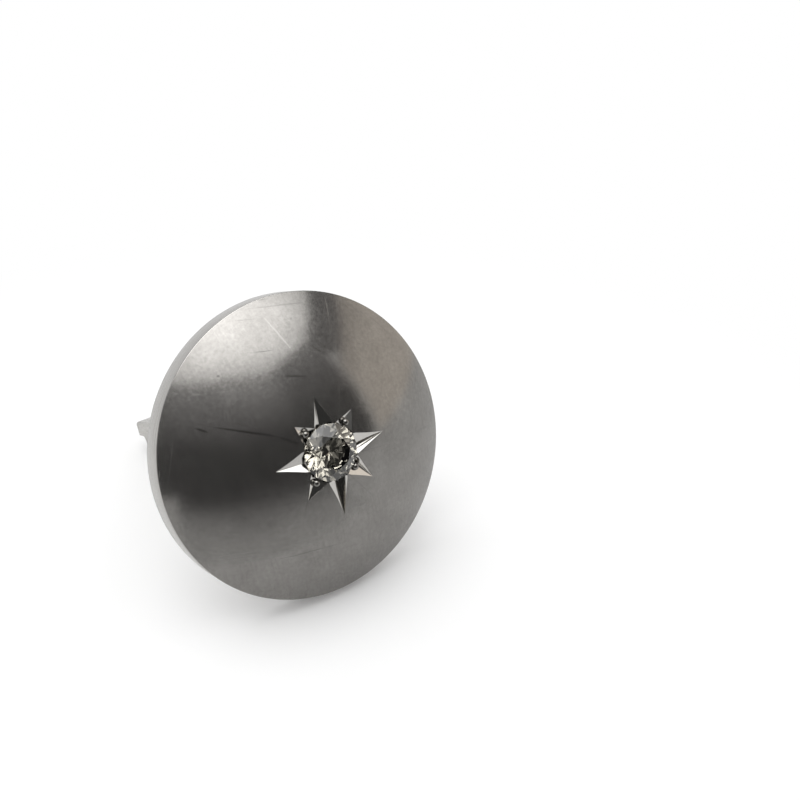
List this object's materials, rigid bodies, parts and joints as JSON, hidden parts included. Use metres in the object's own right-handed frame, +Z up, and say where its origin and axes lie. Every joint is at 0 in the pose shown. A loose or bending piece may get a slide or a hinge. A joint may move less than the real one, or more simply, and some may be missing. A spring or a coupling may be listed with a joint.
{
  "type": "cufflink",
  "caption": "Round domed satin white-metal cufflink with a star-set brilliant and a spring wing back that is squeezed to pass a buttonhole.",
  "frame": {"origin": "on the floor, under the middle of the standing cufflink's box", "axes": "+Z up, the face towards -Y and leaning back, +X to the right as seen from the front"},
  "size_m": [0.018, 0.024, 0.0173],
  "materials": {
    "satin_dome": "satin white metal, finely rubbed, with light scratches",
    "rim_metal": "smooth satin white metal",
    "back_metal": "plain satin white metal",
    "wing_metal": "pressed sheet, lightly brushed along its length",
    "bright_cut": "bright-cut white metal",
    "pivot_metal": "turned and polished white metal",
    "spring_metal": "spring steel strip",
    "stone": "clear faceted stone"
  },
  "bodies": {
    "button": {"dome_shell": "satin_dome", "rim_band": "rim_metal", "back_plate": "back_metal", "seat_bush": "back_metal", "brilliant": "stone", "grain_beads": "bright_cut", "post_foot": "back_metal", "post_stirrup": "back_metal", "pivot_rivet": "pivot_metal", "pivot_sleeve": "pivot_metal", "wing_spring": "spring_metal"},
    "left_wing": {"wing_left": "wing_metal"},
    "right_wing": {"wing_right": "wing_metal"}
  },
  "joints": [
    {"name": "left_wing_squeeze", "type": "hinge", "parent": "button", "child": "left_wing", "pos_m": [0, -0.00081, 0.00602], "axis": [0, -0.3677, -0.9299], "range_deg": [0, 10], "stiffness_Nm_per_rad": 0.004, "springref_deg": -22.92, "deforming": ["wing_spring"]},
    {"name": "right_wing_squeeze", "type": "hinge", "parent": "button", "child": "right_wing", "pos_m": [0, -0.00081, 0.00602], "axis": [0, 0.3677, 0.9299], "range_deg": [0, 10], "stiffness_Nm_per_rad": 0.004, "springref_deg": -22.92, "deforming": ["wing_spring"]}
  ],
  "couplings": [
    {"joint": "right_wing_squeeze", "follows": "left_wing_squeeze", "ratio": 1}
  ]
}
